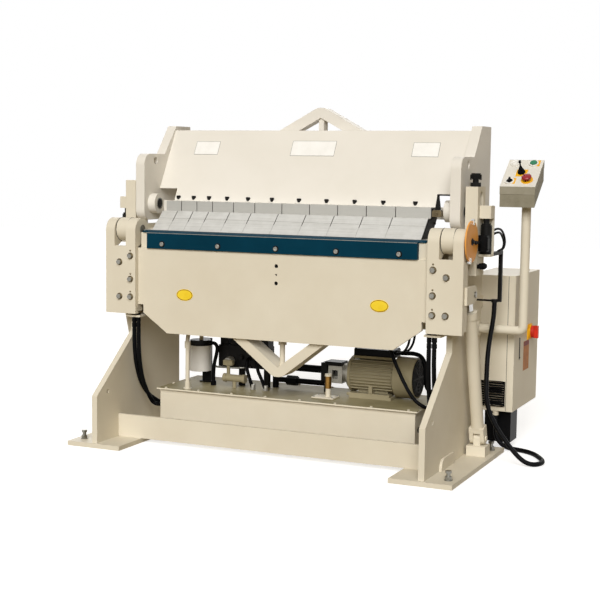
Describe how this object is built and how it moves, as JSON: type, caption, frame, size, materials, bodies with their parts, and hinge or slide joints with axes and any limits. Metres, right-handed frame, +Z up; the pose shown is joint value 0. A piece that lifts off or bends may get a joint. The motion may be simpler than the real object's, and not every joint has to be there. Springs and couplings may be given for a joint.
{
  "type": "hydraulic box and pan brake",
  "caption": "Floor-standing hydraulic box and pan brake: a clamping beam with segmented fingers over a bed, and a folding apron driven by two cylinders.",
  "frame": {"origin": "on the floor, midway between the four foot bolts", "axes": "+X along the bend line to the cabinet side, +Y to the rear, +Z up"},
  "size_m": [1.9148, 1.1495, 1.446],
  "materials": {
    "cream_paint": "satin cream enamel over smoothed plate",
    "pale_paint": "semi-gloss pale cream enamel",
    "teal_paint": "dark teal enamel",
    "finger_steel": "ground tool steel, lightly oiled",
    "bright_steel": "zinc-plated fastener steel",
    "black_steel": "black oxide",
    "rod_chrome": "hard chrome, polished",
    "amber_paint": "amber enamel",
    "grey_plastic": "moulded grey",
    "black_rubber": "smooth black hose cover",
    "black_plastic": "moulded black",
    "green_plastic": "glossy green",
    "red_plastic": "glossy red",
    "yellow_plastic": "glossy yellow",
    "brass_fitting": "machined brass",
    "cast_grey": "painted casting",
    "olive_paint": "olive enamel"
  },
  "bodies": {
    "frame": {"left_side_frame": "cream_paint", "right_side_frame": "cream_paint", "base_rails": "cream_paint", "bed_beam": "cream_paint", "bed_nose_bar": "finger_steel", "left_upright": "cream_paint", "right_upright": "cream_paint", "travel_screw": "black_steel", "clamp_cylinders": "black_steel", "floor_anchors": "bright_steel", "cylinder_bases": "cream_paint", "oil_tank": "cream_paint", "tank_lid": "pale_paint", "motor_housing": "pale_paint", "motor_fan_cowl": "pale_paint", "bell_housing": "cast_grey", "gear_pump": "black_steel", "filler_neck": "brass_fitting", "filter_head": "black_steel", "filter_canister": "pale_paint", "valve_block": "black_steel", "line_strainer": "olive_paint", "return_pipe": "brass_fitting", "fixed_hoses": "black_rubber", "electrical_cabinet": "cream_paint", "cable_box": "black_plastic", "pendant_pole": "cream_paint", "pendant_box": "grey_plastic", "pendant_lid": "grey_plastic", "limit_switch": "black_plastic", "cable_bar": "black_steel", "signal_conduit": "black_rubber"},
    "apron": {"apron_plate": "cream_paint", "apron_truss": "cream_paint", "insert_bar": "teal_paint", "apron_bolts": "bright_steel", "left_bearing_block": "cream_paint", "right_bearing_block": "cream_paint", "pivot_pins": "bright_steel", "angle_disk": "amber_paint", "stop_dogs": "rod_chrome"},
    "clamp_beam": {"upper_beam": "cream_paint", "beam_truss": "cream_paint", "clamp_fingers": "finger_steel", "finger_screws": "black_steel", "trunnion_blocks": "cream_paint", "clamp_rods_and_shafts": "black_steel"},
    "left_tube": {"left_bend_cylinder": "cream_paint"},
    "right_tube": {"right_bend_cylinder": "cream_paint"},
    "left_ram": {"left_bend_rod": "rod_chrome"},
    "right_ram": {"right_bend_rod": "rod_chrome"},
    "rotor": {"motor_rotor": "cast_grey"},
    "door": {"cabinet_door": "cream_paint", "isolator_plate": "yellow_plastic"},
    "isolator": {"isolator_knob": "red_plastic"},
    "start": {"start_button": "green_plastic"},
    "stop": {"stop_button": "red_plastic"},
    "stick": {"joystick": "black_plastic"},
    "selector": {"selector_switch": "black_plastic"},
    "switch_lever": {"limit_lever": "black_steel"}
  },
  "joints": [
    {"name": "apron_hinge", "type": "hinge", "parent": "frame", "child": "apron", "pos_m": [0, -0.075, 0.911], "axis": [-1, 0, 0], "range_deg": [0, 100]},
    {"name": "clamp_lift", "type": "slide", "parent": "frame", "child": "clamp_beam", "axis": [0, 0, 1], "range_m": [0, 0.06]},
    {"name": "motor_spin", "type": "hinge", "parent": "frame", "child": "rotor", "pos_m": [0.3, 0.21, 0.312], "axis": [1, 0, 0], "continuous": true},
    {"name": "door_hinge", "type": "hinge", "parent": "frame", "child": "door", "pos_m": [0.877, 0.785, 0.4585], "axis": [0, 0, 1], "range_deg": [0, 110]},
    {"name": "isolator_turn", "type": "hinge", "parent": "door", "child": "isolator", "pos_m": [0.9, 0.625, 0.487], "axis": [1, 0, 0], "range_deg": [0, 90]},
    {"name": "start_press", "type": "slide", "parent": "frame", "child": "start", "axis": [0, 0.6018, -0.7986], "range_m": [0, 0.004], "stiffness_N_per_m": 400},
    {"name": "stop_press", "type": "slide", "parent": "frame", "child": "stop", "axis": [0, 0.6018, -0.7986], "range_m": [0, 0.005]},
    {"name": "stick_tilt", "type": "hinge", "parent": "frame", "child": "stick", "pos_m": [0.9026, 0.3128, 1.17936], "axis": [1, 0, 0], "range_deg": [-12, 12], "stiffness_Nm_per_rad": 0.6},
    {"name": "selector_turn", "type": "hinge", "parent": "frame", "child": "selector", "pos_m": [0.867, 0.266, 1.14159], "axis": [0, -0.6018, 0.7986], "range_deg": [-45, 45]},
    {"name": "switch_lever_turn", "type": "hinge", "parent": "frame", "child": "switch_lever", "pos_m": [0.824, 0.03, 0.906], "axis": [1, 0, 0], "range_deg": [-25, 25], "stiffness_Nm_per_rad": 0.8},
    {"name": "left_tube_tilt", "type": "hinge", "parent": "frame", "child": "left_tube", "pos_m": [-0.789, 0.184, 0.09], "axis": [1, 0, 0], "range_deg": [0, 13.95]},
    {"name": "left_ram_slide", "type": "slide", "parent": "left_tube", "child": "left_ram", "axis": [0, -0.2974, 0.9548], "range_m": [0, 0.28478]},
    {"name": "right_tube_tilt", "type": "hinge", "parent": "frame", "child": "right_tube", "pos_m": [0.789, 0.184, 0.09], "axis": [1, 0, 0], "range_deg": [0, 13.95]},
    {"name": "right_ram_slide", "type": "slide", "parent": "right_tube", "child": "right_ram", "axis": [0, -0.2974, 0.9548], "range_m": [0, 0.28478]}
  ],
  "couplings": [
    {"joint": "left_tube_tilt", "follows": "apron_hinge", "ratio": 0.13927},
    {"joint": "left_ram_slide", "follows": "apron_hinge", "m_per_rad": 0.16306},
    {"joint": "right_tube_tilt", "follows": "apron_hinge", "ratio": 0.13927},
    {"joint": "right_ram_slide", "follows": "apron_hinge", "m_per_rad": 0.16306}
  ]
}
